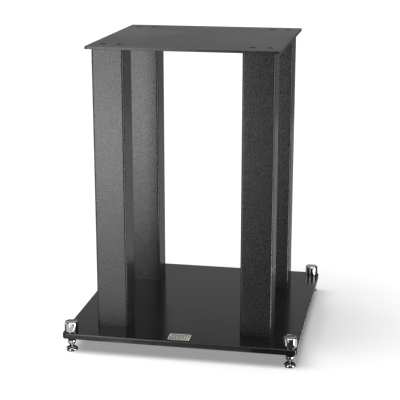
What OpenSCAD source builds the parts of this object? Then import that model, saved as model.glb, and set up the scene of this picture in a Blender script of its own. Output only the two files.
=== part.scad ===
// Four-pillar loudspeaker stand on adjustable spikes.
// Z = 0 is the floor under the spike shoes, the front is towards -Y,
// and the Z axis runs up through the middle of both plates.

/* [Base plate] */
// Width of the base plate, left to right
base_w = 420; // [420:5:480]
// Depth of the base plate, front to back
base_d = 420; // [420:5:480]
// Thickness of the base plate
base_t = 10; // [8:0.5:12]
// Plan radius of the base plate's corners
base_corner_r = 8; // [5:1:12]
// Radius along the base plate's top edges
base_arris = 1.5; // [0.8:0.1:2.5]
// Height of the base plate's underside above the floor
base_clear = 26; // [24:0.5:32]

/* [Top plate] */
// Width of the top plate, left to right
top_w = 335; // [325:5:380]
// Depth of the top plate, front to back
top_d = 335; // [325:5:380]
// Thickness of the top plate
top_t = 5; // [5:0.5:8]
// Plan radius of the top plate's corners
top_corner_r = 4; // [3:0.5:8]
// Radius along the top plate's edges
top_arris = 0.6; // [0.3:0.1:1]

/* [Pillars] */
// Length of each pillar tube
pillar_len = 501; // [400:1:700]
// Width of a pillar tube, left to right
pillar_w = 56; // [50:1:60]
// Depth of a pillar tube, front to back
pillar_d = 56; // [50:1:60]
// Wall thickness of a pillar tube
pillar_wall = 2.5; // [2:0.5:3]
// Outside corner radius of a pillar tube
pillar_r = 3.5; // [3:0.5:5]
// Distance of a pillar's axis from the middle, along X
pillar_x = 130; // [120:0.5:132]
// Distance of a pillar's axis from the middle, along Y
pillar_y = 130; // [120:0.5:132]
// Thickness of the tapped plates welded into the tube ends
end_plate_t = 8; // [6:1:12]

/* [Screws] */
// Distance of each of a pillar's two screws from its axis, along X
screw_pitch_half = 15; // [12:0.5:17]
// Diameter of a countersunk head
screw_head_d = 12; // [12:0.5:13]
// Thread diameter of the countersunk screws
screw_d = 6; // [5, 6]
// Length of the top plate's screws
top_screw_len = 12; // [10:1:14]
// Length of the base plate's screws
base_screw_len = 16; // [14:1:18]
// Width across flats of the hexagon socket
socket_af = 4; // [4:0.5:4.5]

/* [Spikes] */
// Distance of a spike's axis from the middle, along X
spike_x = 196; // [180:0.5:196]
// Distance of a spike's axis from the middle, along Y
spike_y = 195; // [180:0.5:196]
// Diameter of the threaded stud
stud_d = 8; // [8, 10]
// Diameter of the spike's body above its cone
cone_d = 14.5; // [12:0.5:16]
// Diameter of a spike shoe
shoe_d = 22; // [20:1:28]
// Height of a spike shoe's rim
shoe_h = 6; // [5:0.5:8]
// Diameter of the cap nut above the plate
cap_d = 24; // [20:1:26]
// Height of the cap nut and its washer together
cap_h = 18.5; // [16:0.5:20]

/* [Badge] */
// Width of the blank badge
badge_w = 38; // [30:1:50]
// Depth of the blank badge
badge_d = 26; // [20:1:30]
// Thickness of the badge's rim
badge_t = 1.6; // [1:0.1:2]

/* [Hidden] */
$fn = 96;

base_top = base_clear + base_t;
top_under = base_top + pillar_len;
top_face = top_under + top_t;
// inside corner radius of a pillar tube
pillar_ri = max(pillar_r - pillar_wall, 0.2);
// radial clearance of a screw thread in its nut or tapped hole
thread_clear = 0.05;
// head height of a 90 degree countersunk screw, with a short straight land
head_land = 0.3;
head_cone = (screw_head_d - screw_d) / 2;
// badge centre, and its distance behind the front edge of the base plate
badge_y = -base_d / 2 + 6.7 + badge_d / 2;
// stack of one spike, from the floor up
tip_z = shoe_h - 2.6;
nut_h = 4;
nut_af = 13;
nut_washer_t = 1.6;
nut_washer_d = 16;
nut_washer_z = base_clear - nut_washer_t;
nut_z = nut_washer_z - nut_h;
nut_gap = 1;
shoulder_z = nut_z - nut_gap;
cone_top_z = shoulder_z - 3.8;
stud_top_z = base_top + 13;
cap_washer_t = 1.2;
cap_washer_d = cap_d - 2;
neck_r = 6;
neck_h = 1.5;
lip_r = 6.6;
lip_h = 1;
cap_bottom_z = base_top + cap_washer_t;
cap_top_z = base_top + cap_h;
cap_groove_z = base_top + cap_washer_t + neck_h - 0.1;
cap_thread_z = cap_groove_z + lip_h + 0.3;
cap_bore_top_z = cap_top_z - 2.5;

// Rectangle with rounded corners, centred
module round_rect(w, d, r) {
    square([w - 2 * r, d], center = true);
    square([w, d - 2 * r], center = true);
    for (x = [-1, 1], y = [-1, 1])
        translate([x * (w / 2 - r), y * (d / 2 - r)]) circle(r = r);
}

// Upright section of a plate, centred on X and standing on Y = 0,
// with radius a along the top edges and b along the bottom ones
module plate_section(w, t, a, b) {
    translate([-w / 2, b]) square([w, t - a - b]);
    translate([-w / 2 + a, t - a - 0.5]) square([w - 2 * a, a + 0.5]);
    translate([-w / 2 + b, 0]) square([w - 2 * b, b + 0.5]);
    for (s = [-1, 1]) {
        translate([s * (w / 2 - a), t - a]) circle(r = a);
        translate([s * (w / 2 - b), b]) circle(r = b);
    }
}

// Flat plate with plan radius r at its corners and rounded edges
module plate(w, d, t, r, a, b) {
    translate([0, (d - 2 * r) / 2, 0]) rotate([90, 0, 0])
        linear_extrude(height = d - 2 * r) plate_section(w, t, a, b);
    rotate([0, 0, 90]) translate([0, (w - 2 * r) / 2, 0]) rotate([90, 0, 0])
        linear_extrude(height = w - 2 * r) plate_section(d, t, a, b);
    for (x = [-1, 1], y = [-1, 1])
        translate([x * (w / 2 - r), y * (d / 2 - r), 0])
            rotate_extrude() intersection() {
                plate_section(2 * r, t, a, b);
                square([r, t]);
            }
}

// Puts a piece on the spike axis of one corner: sx and sy are -1 or 1
module at_spike(sx, sy) {
    translate([sx * spike_x, sy * spike_y, 0]) children();
}

// Puts a piece on the axis of one pillar
module at_pillar(sx, sy) {
    translate([sx * pillar_x, sy * pillar_y, 0]) children();
}

// Places of a pillar's two screws
module screw_places() {
    for (sx = [-1, 1], sy = [-1, 1], k = [-1, 1])
        translate([sx * pillar_x + k * screw_pitch_half, sy * pillar_y, 0]) children();
}

// Countersunk clearance hole, its face at Z = 0 and the plate below it
module countersink(t) {
    translate([0, 0, -t - 1]) cylinder(d = screw_d + 0.6, h = t + 2);
    translate([0, 0, -head_land]) cylinder(d = screw_head_d, h = head_land + 1);
    translate([0, 0, -head_land - head_cone])
        cylinder(d1 = screw_d, d2 = screw_head_d, h = head_cone);
}

// Countersunk socket screw, its face at Z = 0 and the shank downwards
module countersunk_screw(len) {
    difference() {
        union() {
            translate([0, 0, -head_land])
                cylinder(d = screw_head_d, h = head_land - 0.1);
            translate([0, 0, -head_land - head_cone])
                cylinder(d1 = screw_d, d2 = screw_head_d, h = head_cone);
            translate([0, 0, -len + 0.6]) cylinder(d = screw_d, h = len - 0.6 - 1);
            translate([0, 0, -len]) cylinder(d1 = screw_d - 1.2, d2 = screw_d, h = 0.6);
        }
        translate([0, 0, -2.6]) cylinder(d = socket_af / cos(30), h = 3, $fn = 6);
    }
}

// Steel base plate with countersunk holes from below and four tapped spike holes
module base_plate() {
    color([0.035, 0.035, 0.037]) difference() {
        translate([0, 0, base_clear])
            plate(base_w, base_d, base_t, base_corner_r, base_arris, 0.8);
        translate([0, 0, base_clear]) screw_places() mirror([0, 0, 1]) countersink(base_t);
        for (sx = [-1, 1], sy = [-1, 1]) at_spike(sx, sy)
            translate([0, 0, base_clear - 1])
                cylinder(r = stud_d / 2 + thread_clear, h = base_t + 2);
    }
}

// Steel top plate with countersunk holes over the pillars
module top_plate() {
    color([0.05, 0.05, 0.052]) difference() {
        translate([0, 0, top_under])
            plate(top_w, top_d, top_t, top_corner_r, top_arris, top_arris);
        translate([0, 0, top_face]) screw_places() countersink(top_t);
    }
}

// Square-cut rectangular tube
module pillar() {
    color([0.09, 0.09, 0.092]) translate([0, 0, base_top])
        linear_extrude(height = pillar_len) difference() {
            round_rect(pillar_w, pillar_d, pillar_r);
            round_rect(pillar_w - 2 * pillar_wall, pillar_d - 2 * pillar_wall, pillar_ri);
        }
}

// Tapped plate that fills a tube end, standing on Z = 0
module end_plate() {
    color([0.45, 0.45, 0.46]) difference() {
        linear_extrude(height = end_plate_t)
            round_rect(pillar_w - 2 * pillar_wall, pillar_d - 2 * pillar_wall, pillar_ri);
        for (k = [-1, 1]) translate([k * screw_pitch_half, 0, -1])
            cylinder(r = screw_d / 2 + thread_clear, h = end_plate_t + 2);
    }
}

module top_end_plate() { translate([0, 0, top_under - end_plate_t]) end_plate(); }
module bottom_end_plate() { translate([0, 0, base_top]) end_plate(); }

module top_plate_screws() {
    color([0.08, 0.08, 0.085]) translate([0, 0, top_face]) screw_places()
        countersunk_screw(top_screw_len);
}

module base_plate_screws() {
    color([0.08, 0.08, 0.085]) translate([0, 0, base_clear]) screw_places()
        mirror([0, 0, 1]) countersunk_screw(base_screw_len);
}

// Blank metal badge: a raised rim round a sunk field with plain ribs
module badge() {
    color([0.62, 0.62, 0.63]) translate([0, badge_y, base_top]) {
        linear_extrude(height = badge_t - 0.6) round_rect(badge_w, badge_d, 2);
        translate([0, 0, badge_t - 0.7]) linear_extrude(height = 0.7) difference() {
            round_rect(badge_w, badge_d, 2);
            round_rect(badge_w - 3, badge_d - 3, 1);
        }
        for (k = [-3:3]) translate([k * 4.6 - 0.8, -badge_d / 2 + 5, badge_t - 0.7])
            cube([1.6, badge_d - 10, 0.5]);
    }
}

// Chromed shoe: rounded rim, dished top and a flat-bottomed dimple for the tip
module spike_shoe() {
    rim_r = shoe_h / 2;
    color([0.8, 0.8, 0.82]) rotate_extrude() difference() {
        union() {
            square([shoe_d / 2 - rim_r, shoe_h]);
            intersection() {
                translate([shoe_d / 2 - rim_r, rim_r]) circle(r = rim_r);
                translate([0, 0]) square([shoe_d, shoe_h]);
            }
        }
        // dish, 1.8 deep
        intersection() {
            translate([0, shoe_h - 1.8 + 19.6]) circle(r = 19.6);
            translate([0, shoe_h - 3]) square([shoe_d / 2, 4]);
        }
        // dimple
        polygon([[0, tip_z], [0.8, tip_z], [1.9, shoe_h - 1.2], [0, shoe_h - 1.2]]);
    }
}

// Cone spike and its stud, in one piece
module spike() {
    r = stud_d / 2;
    c = cone_d / 2;
    color([0.8, 0.8, 0.82]) rotate_extrude() polygon([
        [0, tip_z], [0.5, tip_z], [c, cone_top_z], [c, shoulder_z - 0.5],
        [c - 0.5, shoulder_z], [r, shoulder_z], [r, stud_top_z - 0.8],
        [r - 0.8, stud_top_z], [0, stud_top_z]
    ]);
}

// Thin hexagon nut with chamfered corners
module lock_nut() {
    r = nut_af / 2 / cos(30);
    k = (r - nut_af / 2 + 0.3);
    color([0.03, 0.03, 0.032]) translate([0, 0, nut_z]) difference() {
        intersection() {
            cylinder(r = r, h = nut_h, $fn = 6);
            rotate_extrude() polygon([
                [0, 0], [nut_af / 2 - 0.3, 0], [r, k * 0.577],
                [r, nut_h - k * 0.577], [nut_af / 2 - 0.3, nut_h], [0, nut_h]
            ]);
        }
        translate([0, 0, -1]) cylinder(r = stud_d / 2 + thread_clear, h = nut_h + 2);
    }
}

// Flat washer between the lock nut and the underside of the base plate
module lock_nut_washer() {
    color([0.03, 0.03, 0.032]) translate([0, 0, nut_washer_z]) difference() {
        cylinder(d = nut_washer_d, h = nut_washer_t);
        translate([0, 0, -1]) cylinder(d = stud_d + 0.4, h = nut_washer_t + 2);
    }
}

// Chromed cap nut, blind, with a grooved recess that holds its washer
module spike_cap() {
    r = cap_d / 2;
    color([0.8, 0.8, 0.82]) rotate_extrude() difference() {
        polygon([
            [0, cap_bottom_z], [r - 0.6, cap_bottom_z], [r, cap_bottom_z + 0.6],
            [r, cap_top_z - 0.9], [r - 0.9, cap_top_z], [0, cap_top_z]
        ]);
        translate([0, cap_bottom_z - 1]) square([neck_r + 0.08, cap_groove_z - cap_bottom_z + 1.1]);
        translate([0, cap_groove_z]) square([lip_r + 0.25, cap_thread_z - cap_groove_z]);
        translate([0, cap_bottom_z]) square([stud_d / 2 + thread_clear, cap_bore_top_z - cap_bottom_z]);
    }
}

// Washer held in the cap nut by a lipped neck
module cap_washer() {
    color([0.8, 0.8, 0.82]) rotate_extrude() difference() {
        union() {
            translate([0, base_top]) square([cap_washer_d / 2, cap_washer_t]);
            translate([0, base_top]) square([neck_r, cap_washer_t + neck_h + 0.1]);
            translate([0, base_top + cap_washer_t + neck_h]) square([lip_r, lip_h]);
        }
        translate([0, base_top - 1]) square([stud_d / 2 + 0.25, 8]);
    }
}

base_plate();
top_plate();
at_pillar(-1, -1) pillar();  // pillar_front_left
at_pillar(1, -1) pillar();  // pillar_front_right
at_pillar(-1, 1) pillar();  // pillar_rear_left
at_pillar(1, 1) pillar();  // pillar_rear_right
at_pillar(-1, -1) top_end_plate();  // top_end_plate_front_left
at_pillar(1, -1) top_end_plate();  // top_end_plate_front_right
at_pillar(-1, 1) top_end_plate();  // top_end_plate_rear_left
at_pillar(1, 1) top_end_plate();  // top_end_plate_rear_right
at_pillar(-1, -1) bottom_end_plate();  // bottom_end_plate_front_left
at_pillar(1, -1) bottom_end_plate();  // bottom_end_plate_front_right
at_pillar(-1, 1) bottom_end_plate();  // bottom_end_plate_rear_left
at_pillar(1, 1) bottom_end_plate();  // bottom_end_plate_rear_right
top_plate_screws();
base_plate_screws();
badge();
at_spike(-1, -1) spike_shoe();  // spike_shoe_front_left
at_spike(1, -1) spike_shoe();  // spike_shoe_front_right
at_spike(-1, 1) spike_shoe();  // spike_shoe_rear_left
at_spike(1, 1) spike_shoe();  // spike_shoe_rear_right
at_spike(-1, -1) spike();  // spike_front_left
at_spike(1, -1) spike();  // spike_front_right
at_spike(-1, 1) spike();  // spike_rear_left
at_spike(1, 1) spike();  // spike_rear_right
at_spike(-1, -1) lock_nut();  // lock_nut_front_left
at_spike(1, -1) lock_nut();  // lock_nut_front_right
at_spike(-1, 1) lock_nut();  // lock_nut_rear_left
at_spike(1, 1) lock_nut();  // lock_nut_rear_right
at_spike(-1, -1) lock_nut_washer();  // lock_nut_washer_front_left
at_spike(1, -1) lock_nut_washer();  // lock_nut_washer_front_right
at_spike(-1, 1) lock_nut_washer();  // lock_nut_washer_rear_left
at_spike(1, 1) lock_nut_washer();  // lock_nut_washer_rear_right
at_spike(-1, -1) spike_cap();  // spike_cap_front_left
at_spike(1, -1) spike_cap();  // spike_cap_front_right
at_spike(-1, 1) spike_cap();  // spike_cap_rear_left
at_spike(1, 1) spike_cap();  // spike_cap_rear_right
at_spike(-1, -1) cap_washer();  // cap_washer_front_left
at_spike(1, -1) cap_washer();  // cap_washer_front_right
at_spike(-1, 1) cap_washer();  // cap_washer_rear_left
at_spike(1, 1) cap_washer();  // cap_washer_rear_right
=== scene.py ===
"""Looks of a four-pillar loudspeaker stand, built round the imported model."""
import math

import bmesh
import bpy
from mathutils import Matrix, Vector


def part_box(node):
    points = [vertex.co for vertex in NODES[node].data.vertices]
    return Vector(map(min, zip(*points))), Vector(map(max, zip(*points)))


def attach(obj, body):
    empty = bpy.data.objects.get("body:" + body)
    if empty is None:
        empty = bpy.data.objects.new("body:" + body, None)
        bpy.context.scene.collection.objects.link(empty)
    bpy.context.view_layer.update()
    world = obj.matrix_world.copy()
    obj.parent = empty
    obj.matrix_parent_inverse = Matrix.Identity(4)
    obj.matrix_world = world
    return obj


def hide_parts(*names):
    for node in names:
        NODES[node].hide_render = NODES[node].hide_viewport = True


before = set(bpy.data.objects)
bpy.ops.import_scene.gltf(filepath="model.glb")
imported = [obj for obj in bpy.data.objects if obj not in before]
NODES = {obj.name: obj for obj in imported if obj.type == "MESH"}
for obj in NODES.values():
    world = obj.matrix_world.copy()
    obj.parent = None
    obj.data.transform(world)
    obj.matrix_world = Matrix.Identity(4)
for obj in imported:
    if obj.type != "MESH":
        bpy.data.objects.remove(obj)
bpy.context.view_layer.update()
scene = bpy.context.scene

CORNERS = {
    "front_left": (-0.196, -0.195),
    "front_right": (0.196, -0.195),
    "rear_left": (-0.196, 0.195),
    "rear_right": (0.196, 0.195),
}
BASE_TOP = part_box("base_plate")[1].z
BASE_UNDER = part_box("base_plate")[0].z
MM = 0.001

# ---------------------------------------------------------------- camera
# The picture is 400 x 400. Focal length and place were fitted to the plates'
# and pillars' edges, with no lens shift.
FOCAL_PX = 1122.19
cam_data = bpy.data.cameras.new("Camera")
cam_data.sensor_width = 36.0
cam_data.lens = FOCAL_PX * 36.0 / 400.0
cam_data.clip_start = 0.05
cam_data.clip_end = 60.0
cam = bpy.data.objects.new("Camera", cam_data)
scene.collection.objects.link(cam)
YAW, PITCH = math.radians(10.89), math.radians(15.25)
cam.location = (0.38396, -1.9935, 0.75405 + BASE_TOP)
cam.rotation_euler = (math.radians(90) - PITCH, 0.0, YAW)
scene.camera = cam


# ---------------------------------------------------------------- node helpers
class Mat:
    """A material under construction, with short names for the node calls."""

    def __init__(self, name):
        self.m = bpy.data.materials.new(name)
        self.m.use_nodes = True
        self.t = self.m.node_tree
        self.bsdf = self.t.nodes["Principled BSDF"]
        self.coord = self.t.nodes.new("ShaderNodeTexCoord")

    def n(self, kind, **values):
        node = self.t.nodes.new("ShaderNode" + kind)
        for k, v in values.items():
            if hasattr(node, k):
                setattr(node, k, v)
            else:
                node.inputs[k.replace("_", " ").title()].default_value = v
        return node

    def link(self, a, b):
        self.t.links.new(a, b)

    def set(self, **values):
        for k, v in values.items():
            self.bsdf.inputs[k.replace("_", " ")].default_value = v

    def noise(self, scale, detail=2.0, rough=0.5, distortion=0.0, vector=None):
        node = self.n("TexNoise")
        node.inputs["Scale"].default_value = scale
        node.inputs["Detail"].default_value = detail
        node.inputs["Roughness"].default_value = rough
        node.inputs["Distortion"].default_value = distortion
        self.link(vector or self.coord.outputs["Object"], node.inputs["Vector"])
        return node.outputs["Fac"]

    def ramp(self, fac, low, high, a=0.0, b=1.0):
        """Map Range from [a, b] to [low, high]."""
        node = self.n("MapRange")
        node.inputs["From Min"].default_value = a
        node.inputs["From Max"].default_value = b
        node.inputs["To Min"].default_value = low
        node.inputs["To Max"].default_value = high
        self.link(fac, node.inputs["Value"])
        return node.outputs["Result"]

    def math(self, op, a, b=None):
        node = self.n("Math", operation=op)
        for i, v in enumerate((a, b)):
            if v is None:
                continue
            if isinstance(v, (int, float)):
                node.inputs[i].default_value = v
            else:
                self.link(v, node.inputs[i])
        return node.outputs[0]

    def mix(self, fac, c1, c2):
        node = self.n("Mix", data_type="RGBA")
        self.link(fac, node.inputs["Factor"])
        for sock, c in ((node.inputs[6], c1), (node.inputs[7], c2)):
            if isinstance(c, tuple):
                sock.default_value = (*c, 1.0)
            else:
                self.link(c, sock)
        return node.outputs[2]

    def bump(self, height, strength, distance, normal=None):
        node = self.n("Bump")
        node.inputs["Strength"].default_value = strength
        node.inputs["Distance"].default_value = distance
        self.link(height, node.inputs["Height"])
        if normal is not None:
            self.link(normal, node.inputs["Normal"])
        return node.outputs["Normal"]

    def pointiness(self):
        return self.n("NewGeometry").outputs["Pointiness"]


# ---------------------------------------------------------------- materials
def powder_coat():
    """Fine-textured black powder coat on the pillars."""
    k = Mat("powder_coat")
    grain = k.noise(400.0, 3.0, 0.6)
    fine = k.noise(1500.0, 2.0, 0.5)
    blotch = k.noise(9.0, 2.0, 0.5)
    both = k.math("ADD", k.math("MULTIPLY", grain, 0.75), k.math("MULTIPLY", fine, 0.25))
    # The base colour follows the grain's bump height: darker in its pits, lighter on its peaks. That is painted shade
    # in the pits, laid over the coat's own random grain tone.
    c = k.mix(k.ramp(both, 0.0, 1.0, 0.35, 0.65), (0.0, 0.0, 0.0), (0.036, 0.036, 0.0365))
    c = k.mix(k.ramp(blotch, 0.0, 0.2, 0.3, 0.7), c, (0.014, 0.014, 0.0142))
    k.link(c, k.bsdf.inputs["Base Color"])
    k.link(k.ramp(both, 0.20, 0.26, 0.3, 0.7), k.bsdf.inputs["Roughness"])
    k.link(k.bump(both, 1.0, 0.00022), k.bsdf.inputs["Normal"])
    return k.m


def satin_paint():
    """Satin black paint on the top plate."""
    k = Mat("satin_paint")
    peel = k.noise(260.0, 2.0, 0.5)
    wide = k.noise(7.0, 3.0, 0.5)
    c = k.mix(k.ramp(wide, 0.0, 1.0, 0.3, 0.7), (0.008, 0.008, 0.0081), (0.012, 0.012, 0.0121))
    k.link(c, k.bsdf.inputs["Base Color"])
    k.link(k.ramp(wide, 0.23, 0.29, 0.3, 0.7), k.bsdf.inputs["Roughness"])
    k.link(k.bump(peel, 0.25, 0.00008), k.bsdf.inputs["Normal"])
    return k.m


def gloss_paint():
    """Semi-gloss black paint on the base plate, with a faint orange peel."""
    k = Mat("gloss_paint")
    peel = k.noise(150.0, 2.0, 0.5)
    wide = k.noise(5.0, 3.0, 0.55)
    c = k.mix(k.ramp(wide, 0.0, 1.0, 0.3, 0.7), (0.007, 0.007, 0.0072), (0.010, 0.010, 0.0102))
    k.link(c, k.bsdf.inputs["Base Color"])
    k.link(k.ramp(wide, 0.14, 0.18, 0.3, 0.7), k.bsdf.inputs["Roughness"])
    k.link(k.bump(peel, 0.12, 0.00006), k.bsdf.inputs["Normal"])
    return k.m


def chrome():
    """Polished chrome over turned steel: faint rings round each piece's own axis."""
    k = Mat("chrome")
    k.set(Metallic=1.0)
    rings = k.n("TexWave", wave_type="RINGS", rings_direction="Z", wave_profile="SIN")
    rings.inputs["Scale"].default_value = 560.0
    rings.inputs["Distortion"].default_value = 0.6
    rings.inputs["Detail"].default_value = 2.0
    k.link(k.coord.outputs["Object"], rings.inputs["Vector"])
    smear = k.noise(90.0, 4.0, 0.55)
    fine = k.noise(1800.0, 2.0, 0.5)
    c = k.mix(k.ramp(smear, 0.0, 1.0, 0.35, 0.65), (0.60, 0.60, 0.605), (0.70, 0.70, 0.705))
    k.link(c, k.bsdf.inputs["Base Color"])
    k.link(k.ramp(smear, 0.03, 0.07, 0.35, 0.65), k.bsdf.inputs["Roughness"])
    bump = k.bump(rings.outputs["Fac"], 0.22, 0.00002)
    k.link(k.bump(fine, 0.06, 0.00002, bump), k.bsdf.inputs["Normal"])
    return k.m


def black_oxide():
    """Black oxide steel on the screws, nuts and washers."""
    k = Mat("black_oxide")
    k.set(Specular_IOR_Level=0.04)
    tone = k.noise(420.0, 3.0, 0.6)
    edge = k.ramp(k.pointiness(), 0.0, 1.0, 0.52, 0.62)
    c = k.mix(k.ramp(tone, 0.0, 1.0, 0.3, 0.7), (0.004, 0.004, 0.0042), (0.009, 0.009, 0.0092))
    c = k.mix(edge, c, (0.016, 0.016, 0.0163))
    k.link(c, k.bsdf.inputs["Base Color"])
    k.link(k.ramp(tone, 0.50, 0.64, 0.3, 0.7), k.bsdf.inputs["Roughness"])
    k.link(k.bump(tone, 0.2, 0.00005), k.bsdf.inputs["Normal"])
    return k.m


def bare_steel():
    """Milled steel of the plates inside the pillar ends."""
    k = Mat("bare_steel")
    k.set(Metallic=1.0)
    mapping = k.n("Mapping")
    mapping.inputs["Scale"].default_value = (40.0, 900.0, 40.0)
    k.link(k.coord.outputs["Object"], mapping.inputs["Vector"])
    lines = k.noise(1.0, 4.0, 0.6, vector=mapping.outputs["Vector"])
    c = k.mix(k.ramp(lines, 0.0, 1.0, 0.3, 0.7), (0.36, 0.36, 0.37), (0.5, 0.5, 0.51))
    k.link(c, k.bsdf.inputs["Base Color"])
    k.link(k.ramp(lines, 0.28, 0.42, 0.3, 0.7), k.bsdf.inputs["Roughness"])
    k.link(k.bump(lines, 0.25, 0.00005), k.bsdf.inputs["Normal"])
    return k.m


def badge_metal():
    """Badge: dark sunk field, pale brass ribs and a bright rim, brushed along X; its outer wall and the steep sides
    of rim and ribs take the field's dark colour as painted shade.
    """
    k = Mat("badge_metal")
    k.set(Specular_IOR_Level=0.05)
    mapping = k.n("Mapping")
    mapping.inputs["Scale"].default_value = (60.0, 2600.0, 60.0)
    k.link(k.coord.outputs["Object"], mapping.inputs["Vector"])
    lines = k.noise(1.0, 4.0, 0.6, vector=mapping.outputs["Vector"])
    split = k.n("SeparateXYZ")
    k.link(k.coord.outputs["Object"], split.inputs[0])
    height = split.outputs["Z"]
    grain = k.ramp(lines, 0.0, 1.0, 0.3, 0.7)
    field = k.mix(grain, (0.010, 0.010, 0.010), (0.024, 0.024, 0.023))
    brass = k.mix(grain, (0.72, 0.62, 0.42), (0.90, 0.81, 0.62))
    silver = k.mix(grain, (0.70, 0.70, 0.70), (0.88, 0.88, 0.87))
    # Below this height the outer wall under the rim keeps the dark field colour: painted shade on the wall.
    raised = k.ramp(height, 0.0, 1.0, 0.03708, 0.03713)
    up = k.n("SeparateXYZ")
    k.link(k.n("NewGeometry").outputs["True Normal"], up.inputs[0])
    # Only faces turned upwards get brass or silver metal; the steep sides of rim and ribs stay dark as painted shade.
    crown = k.ramp(up.outputs["Z"], 0.0, 1.0, 0.35, 0.60)
    raised = k.math("MULTIPLY", raised, crown)
    k.link(raised, k.bsdf.inputs["Metallic"])
    c = k.mix(raised, field, brass)
    c = k.mix(k.math("MULTIPLY", k.ramp(height, 0.0, 1.0, 0.03741, 0.03744), crown), c, silver)
    k.link(c, k.bsdf.inputs["Base Color"])
    k.link(k.ramp(lines, 0.30, 0.40, 0.3, 0.7), k.bsdf.inputs["Roughness"])
    k.link(k.bump(lines, 0.2, 0.00004), k.bsdf.inputs["Normal"])
    return k.m


POWDER = powder_coat()
SATIN = satin_paint()
GLOSS = gloss_paint()
CHROME = chrome()
OXIDE = black_oxide()
STEEL = bare_steel()
BADGE = badge_metal()

FINISH = {
    "base_plate": GLOSS,
    "top_plate": SATIN,
    "pillar": POWDER,
    "top_end_plate": STEEL,
    "bottom_end_plate": STEEL,
    "top_plate_screws": OXIDE,
    "base_plate_screws": OXIDE,
    "badge": BADGE,
    "spike_shoe": CHROME,
    "spike_cap": CHROME,
    "cap_washer": CHROME,
    "lock_nut": OXIDE,
    "spike": CHROME,
}
for name, obj in NODES.items():
    key = max((p for p in FINISH if name.startswith(p)), key=len)
    obj.data.materials.clear()
    obj.data.materials.append(FINISH[key])


# ---------------------------------------------------------------- turned pieces
def rounded(points, steps=5):
    """Profile in millimetres from (r, z, fillet) corners, with each fillet as an arc."""
    out = []
    last = len(points) - 1
    for i, (r, z, f) in enumerate(points):
        if f == 0 or i in (0, last):
            out.append((r, z))
            continue
        here = Vector((r, z))
        u = (Vector(points[i - 1][:2]) - here).normalized()
        v = (Vector(points[i + 1][:2]) - here).normalized()
        half = u.angle(v) / 2.0
        back = f / math.tan(half)
        centre = here + (u + v).normalized() * (f / math.sin(half))
        a, b = here + u * back - centre, here + v * back - centre
        turn = a.angle_signed(b)
        for s in range(steps + 1):
            t = -turn * s / steps
            out.append((
                centre.x + a.x * math.cos(t) - a.y * math.sin(t),
                centre.y + a.x * math.sin(t) + a.y * math.cos(t),
            ))
    return out


def lathe(profile, segs=96, closed=False):
    """Mesh turned about Z from (r, z) points in millimetres, counter-clockwise
    seen with r to the right and z up. An open profile starts and ends on the axis."""
    bm = bmesh.new()
    rings = []
    for r, z in profile:
        if r < 1e-6:
            rings.append([bm.verts.new((0.0, 0.0, z * MM))])
        else:
            rings.append([
                bm.verts.new((r * MM * math.cos(2 * math.pi * i / segs),
                              r * MM * math.sin(2 * math.pi * i / segs), z * MM))
                for i in range(segs)
            ])
    pairs = list(zip(rings, rings[1:]))
    if closed:
        pairs.append((rings[-1], rings[0]))
    for a, b in pairs:
        for i in range(segs):
            j = (i + 1) % segs
            if len(a) == 1 and len(b) == 1:
                continue
            if len(a) == 1:
                bm.faces.new((a[0], b[j], b[i]))
            elif len(b) == 1:
                bm.faces.new((a[i], a[j], b[0]))
            else:
                bm.faces.new((a[i], a[j], b[j], b[i]))
    return bm


def piece(name, bm, where, body, material, slot, *nodes, sharp=38.0):
    """Turns a bmesh into a piece at `where` that rides on `body` and stands for `nodes`."""
    bmesh.ops.recalc_face_normals(bm, faces=bm.faces)
    mesh = bpy.data.meshes.new(name)
    bm.to_mesh(mesh)
    bm.free()
    mesh.shade_smooth()
    mesh.set_sharp_from_angle(angle=math.radians(sharp))
    mesh.materials.append(material)
    obj = bpy.data.objects.new(name, mesh)
    obj.location = where
    scene.collection.objects.link(obj)
    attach(obj, body)
    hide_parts(*nodes)
    return obj


def arc(cr, cz, r, a0, a1, steps):
    """Points of an arc about (cr, cz), its angles in degrees."""
    return [
        (cr + r * math.cos(math.radians(a0 + (a1 - a0) * i / steps)),
         cz + r * math.sin(math.radians(a0 + (a1 - a0) * i / steps)))
        for i in range(steps + 1)
    ]


# Sizes of one foot, in millimetres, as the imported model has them.
TIP_Z = 3.4
PITCH_Z = 1.25
STUD_R, ROOT_R = 4.0, 3.24


def shoe_mesh():
    """Bullnose shoe: turned dish, dimple for the tip and a relieved underside."""
    p = [(0.0, 0.35), (6.2, 0.35), (6.55, 0.0), (8.0, 0.0)]
    p += arc(8.0, 3.0, 3.0, -80.0, 90.0, 22)
    dish = 19.6
    edge = math.degrees(math.asin(8.0 / dish))
    p += [(dish * math.sin(math.radians(t)), 23.8 - dish * math.cos(math.radians(t)))
          for t in [edge * (1 - i / 14) for i in range(14)] if dish * math.sin(math.radians(t)) > 2.3]
    lip = 23.8 - math.sqrt(dish * dish - 2.05 ** 2)
    p += [(2.05, lip), (1.80, lip - 0.10), (1.62, lip - 0.30), (0.95, 3.50), (0.72, 3.38), (0.0, 3.38)]
    return lathe(p)


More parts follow.
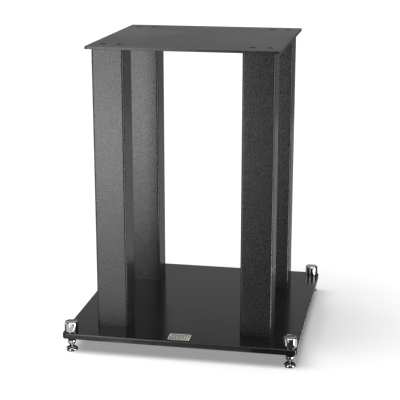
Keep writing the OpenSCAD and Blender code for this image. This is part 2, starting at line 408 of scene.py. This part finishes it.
def spike_mesh(segs=48, per_pitch=10):
    """Cone, collar, undercut and a right-hand M8 x 1.25 thread in one surface."""
    cone = rounded([
        (0.0, TIP_Z, 0), (0.5, TIP_Z, 0.18), (7.25, 15.6, 0.5), (7.25, 19.4, 0.45),
        (3.9, 19.4, 0),
    ])
    low, high = 20.3, 48.2
    rows = [(r, z, False) for r, z in cone]
    rows += [(3.45, 19.6, False), (3.35, 19.9, False), (3.35, low, False)]
    steps = int((high - low) / PITCH_Z * per_pitch)
    rows += [(0.0, low + (high - low) * i / steps, True) for i in range(1, steps + 1)]
    rows += [(ROOT_R, 48.45, False), (3.1, 48.75, False), (2.7, 48.95, False), (2.3, 49.0, False), (0.0, 49.0, False)]
    bm = bmesh.new()
    rings = []
    for r, z, threaded in rows:
        if r < 1e-6 and not threaded:
            rings.append([bm.verts.new((0.0, 0.0, z * MM))])
            continue
        ring = []
        for i in range(segs):
            t = 2 * math.pi * i / segs
            q = r
            if threaded:
                f = (z / PITCH_Z - i / segs) % 1.0
                d = min(f, 1.0 - f)
                h = min(max((0.40 - d) / (0.40 - 0.075), 0.0), 1.0)
                h = h * h * (3 - 2 * h) * 0.35 + h * 0.65
                fade = min((z - low) / 1.4, (high - z) / 0.9, 1.0)
                q = ROOT_R + (STUD_R - 0.01 - ROOT_R) * h * max(fade, 0.0)
            ring.append(bm.verts.new((q * MM * math.cos(t), q * MM * math.sin(t), z * MM)))
        rings.append(ring)
    for a, b in zip(rings, rings[1:]):
        for i in range(segs):
            j = (i + 1) % segs
            if len(a) == 1:
                bm.faces.new((a[0], b[j], b[i]))
            elif len(b) == 1:
                bm.faces.new((a[i], a[j], b[0]))
            else:
                bm.faces.new((a[i], a[j], b[j], b[i]))
    return bm


def cap_mesh():
    """Cap nut: faced top with a fine raised rim, relieved underside, grooved recess."""
    p = rounded([
        (0.0, 52.0, 0), (4.05, 52.0, 0.3), (4.05, 39.9, 0.15), (6.85, 39.9, 0), (6.85, 38.6, 0),
        (6.08, 38.6, 0.1), (6.08, 37.2, 0.15), (11.4, 37.2, 0.15), (12.0, 37.8, 0.35),
        (12.0, 53.6, 0.45), (11.1, 54.5, 0.45), (10.2, 54.5, 0.1), (10.0, 54.38, 0.1), (0.0, 54.32, 0),
    ], 4)
    return lathe(p, 112)


def cap_washer_mesh():
    p = rounded([
        (4.25, 36.0, 0), (10.75, 36.0, 0.2), (11.0, 36.25, 0.2), (11.0, 36.95, 0.2), (10.75, 37.2, 0.2),
        (6.0, 37.2, 0.1), (6.0, 38.7, 0.1), (6.6, 38.75, 0.1), (6.6, 39.6, 0.1), (6.45, 39.7, 0.05), (4.25, 39.7, 0),
    ], 3)
    return lathe(p, 96, closed=True)


for corner, (cx, cy) in CORNERS.items():
    at = (cx, cy, 0.0)
    piece(f"turned_shoe_{corner}", shoe_mesh(), at, f"shoe_{corner}", CHROME, "chrome", f"spike_shoe_{corner}")
    piece(f"threaded_spike_{corner}", spike_mesh(), at, f"spike_{corner}", CHROME, "chrome", f"spike_{corner}")
    piece(f"turned_cap_{corner}", cap_mesh(), at, f"cap_{corner}", CHROME, "chrome", f"spike_cap_{corner}")
    piece(f"turned_cap_washer_{corner}", cap_washer_mesh(), at, f"cap_washer_{corner}", CHROME, "chrome",
          f"cap_washer_{corner}")


# ---------------------------------------------------------------- badge
def rounded_outline(w, d, r, steps=6):
    """Points of a rounded rectangle in millimetres, counter-clockwise from above."""
    out = []
    for qx, qy, a0 in ((1, 1, 0), (-1, 1, 90), (-1, -1, 180), (1, -1, 270)):
        for i in range(steps + 1):
            t = math.radians(a0 + 90 * i / steps)
            out.append((qx * (w / 2 - r) + r * math.cos(t), qy * (d / 2 - r) + r * math.sin(t)))
    return out


def badge_mesh():
    """Blank cast badge: rolled rim, sunk field and seven plain ribs with rounded ends."""
    bm = bmesh.new()

    def ring(inset, z, w=38.0, d=26.0, r=2.0, cx=0.0, cy=0.0):
        pts = rounded_outline(w - 2 * inset, d - 2 * inset, max(r - inset, 0.25))
        return [bm.verts.new(((cx + x) * MM, (cy + y) * MM, z * MM)) for x, y in pts]

    def skin(rings, cap_low=True, cap_high=True):
        for a, b in zip(rings, rings[1:]):
            n = len(a)
            for i in range(n):
                bm.faces.new((a[i], a[(i + 1) % n], b[(i + 1) % n], b[i]))
        if cap_low:
            bm.faces.new(list(reversed(rings[0])))
        if cap_high:
            bm.faces.new(rings[-1])

    z = 36.0
    rows = [(0.0, 0.0), (0.0, 1.1), (0.06, 1.32), (0.22, 1.5), (0.45, 1.6), (1.0, 1.6),
            (1.25, 1.53), (1.45, 1.36), (1.55, 1.12), (1.72, 1.02), (1.95, 1.0)]
    skin([ring(i, z + h) for i, h in rows])
    for k in range(-3, 4):
        rib = [(0.0, 0.98), (0.0, 1.08), (0.06, 1.19), (0.18, 1.29), (0.38, 1.37), (0.62, 1.4)]
        skin([ring(i, z + h, 1.6, 16.0, 0.78, 4.6 * k, 0.0) for i, h in rib])
    return bm


badge_at = (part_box("badge")[0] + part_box("badge")[1]) / 2
badge = piece("cast_badge", badge_mesh(), (0.0, badge_at.y, 0.0), "stand", BADGE, "badge_metal", "badge",
              sharp=50.0)


# ---------------------------------------------------------------- floor and light
def area(name, where, aim, size_x, size_y, power):
    data = bpy.data.lights.new(name, "AREA")
    data.shape = "RECTANGLE"
    data.size, data.size_y = size_x, size_y
    data.energy = power
    obj = bpy.data.objects.new(name, data)
    scene.collection.objects.link(obj)
    obj.location = where
    obj.rotation_euler = (Vector(aim) - Vector(where)).to_track_quat("-Z", "Y").to_euler()
    obj.visible_camera = False
    return obj


floor_mesh = bpy.data.meshes.new("floor")
bm = bmesh.new()
bmesh.ops.create_grid(bm, x_segments=1, y_segments=1, size=20.0)
bm.to_mesh(floor_mesh)
bm.free()
floor = bpy.data.objects.new("floor", floor_mesh)
scene.collection.objects.link(floor)
k = Mat("floor_paint")
k.link(k.mix(k.noise(0.8, 2.0), (0.80, 0.80, 0.80), (0.84, 0.84, 0.84)), k.bsdf.inputs["Base Color"])
k.set(Roughness=0.9)
k.bsdf.inputs["Emission Color"].default_value = (1.0, 1.0, 1.0, 1.0)
k.bsdf.inputs["Emission Strength"].default_value = 0.30
floor.data.materials.append(k.m)
floor.visible_glossy = False
floor.visible_diffuse = False
floor.visible_shadow = False

# The room: dim and even for the object, white behind it.
ROOM = 0.042
world = bpy.data.worlds.new("World")
scene.world = world
world.use_nodes = True
wt = world.node_tree
back = wt.nodes["Background"]
back.inputs["Color"].default_value = (1.0, 1.0, 1.0, 1.0)
path = wt.nodes.new("ShaderNodeLightPath")
seen = wt.nodes.new("ShaderNodeMapRange")
seen.inputs["To Min"].default_value = ROOM
seen.inputs["To Max"].default_value = 1.0
wt.links.new(path.outputs["Is Camera Ray"], seen.inputs["Value"])
wt.links.new(seen.outputs["Result"], back.inputs["Strength"])

# The softboxes light the stand only, and the sky light only the floor.
off_floor = bpy.data.collections.new("floor_left_out")
off_floor.objects.link(floor)
off_floor.collection_objects[0].light_linking.link_state = "EXCLUDE"


def only(name, obj):
    """Collection through which a light reaches one object and nothing else."""
    group = bpy.data.collections.new(name)
    group.objects.link(obj)
    group.collection_objects[0].light_linking.link_state = "INCLUDE"
    return group


on_floor = only("floor_only", floor)
on_badge = only("badge_only", badge)
on_base = only("base_plate_only", NODES["base_plate"])


def box_y(name, x, z, y, facing, power, lit=off_floor):
    """Softbox in the plane Y = y, from x[0] to x[1] and z[0] to z[1]."""
    c = ((x[0] + x[1]) / 2, y, (z[0] + z[1]) / 2)
    light = area(name, c, (c[0], y + facing, c[2]), x[1] - x[0], z[1] - z[0], power)
    light.light_linking.receiver_collection = lit


def box_x(name, y, z, x, facing, power):
    c = (x, (y[0] + y[1]) / 2, (z[0] + z[1]) / 2)
    light = area(name, c, (x + facing, c[1], c[2]), y[1] - y[0], z[1] - z[0], power)
    light.light_linking.receiver_collection = off_floor


def box_z(name, x, y, z, facing, power):
    c = ((x[0] + x[1]) / 2, (y[0] + y[1]) / 2, z)
    light = area(name, c, (c[0], c[1] + 1e-5, z + facing), x[1] - x[0], y[1] - y[0], power)
    light.light_linking.receiver_collection = off_floor


# front left, in strips that grade the pillars from top to bottom
box_y("front_outer_mid", (-1.6, -0.9), (-0.3, 0.1), -2.1, 1, 3.6)
box_y("front_outer_high", (-1.6, -0.9), (0.1, 0.5), -2.1, 1, 1.19)
box_y("front_inner_low", (-0.95, -0.40), (-0.7, -0.3), -2.1, 1, 0.85)
box_y("front_inner_mid", (-0.95, -0.42), (-0.3, 0.1), -2.1, 1, 6.2)
box_y("front_inner_high", (-0.95, -0.48), (0.1, 0.5), -2.1, 1, 3.3)
box_y("front_inner_top", (-0.95, -0.42), (0.5, 1.1), -2.1, 1, 6.3)
# behind, for the plates' upper faces and the pillars' sides
box_y("rear_far_left", (-1.5, -0.6), (0.0, 1.0), 2.0, -1, 1.02)
box_y("rear_left", (-0.6, 0.2), (0.0, 1.0), 2.0, -1, 0.84)
box_y("rear_left_low", (-0.6, 0.2), (-1.0, 0.0), 2.0, -1, 0.55)
box_y("rear_high", (-0.9, 0.0), (0.8, 1.5), 2.0, -1, 13.0, on_badge)
box_y("rear_middle", (0.2, 1.0), (0.0, 1.0), 2.0, -1, 0.28)
box_y("rear_middle_low", (0.2, 1.0), (-1.0, 0.0), 2.0, -1, 0.73)
box_y("rear_right", (0.85, 1.15), (0.0, 0.45), 2.0, -1, 4.5, on_base)
# sides
box_x("side_right", (-1.6, -0.36), (-0.3, 1.1), 2.1, -1, 17.5)
box_x("side_right_low", (-1.1, -0.36), (-0.8, -0.3), 2.1, -1, 16.0)
box_x("side_right_strip", (-1.15, -0.85), (-0.3, 1.1), 2.1, -1, 27.0)
box_x("side_left", (0.36, 1.6), (-0.3, 1.1), -2.1, 1, 9.0)
# seen only by the faces turned away from the camera
box_y("rear_low", (-1.1, -0.3), (-0.6, 0.1), 2.0, -1, 3.0)
box_x("side_left_low", (-0.36, 0.36), (-0.6, 0.2), -2.1, 1, 6.0)
# overhead
box_z("overhead", (-0.8, 0.8), (-0.8, 0.8), 1.8, -1, 37.13)
# bright patches of the pale floor, as the edges and the chrome see them
box_z("floor_front_left", (-0.6, -0.06), (-0.9, -0.345), 0.002, 1, 1.017)
box_z("floor_corner_left", (-0.45, -0.10), (-0.345, -0.215), 0.002, 1, 0.094)
box_z("floor_corner_strip", (-0.14, -0.06), (-0.27, -0.215), 0.002, 1, 0.020)
box_z("floor_front_edge", (-0.10, 0.12), (-0.31, -0.27), 0.002, 1, 0.007)
box_z("floor_front_right", (-0.05, 0.12), (-0.27, -0.215), 0.002, 1, 0.0255)
box_z("floor_corner_right", (0.222, 0.36), (-0.205, -0.09), 0.002, 1, 0.040)
box_z("floor_rear_right", (0.26, 0.34), (0.03, 0.13), 0.002, 1, 0.0284)

sky = bpy.data.lights.new("sky", "SUN")
sky.energy = 3.4
sky.angle = math.radians(60)
sky_obj = bpy.data.objects.new("sky", sky)
scene.collection.objects.link(sky_obj)
sky_obj.rotation_euler = (Vector((0.35, 0.12, -1.0))).to_track_quat("-Z", "Y").to_euler()
sky_obj.visible_camera = False
sky_obj.light_linking.receiver_collection = on_floor

scene.view_settings.view_transform = "Standard"
scene.view_settings.look = "None"
scene.view_settings.exposure = 0.0
scene.view_settings.gamma = 1.0
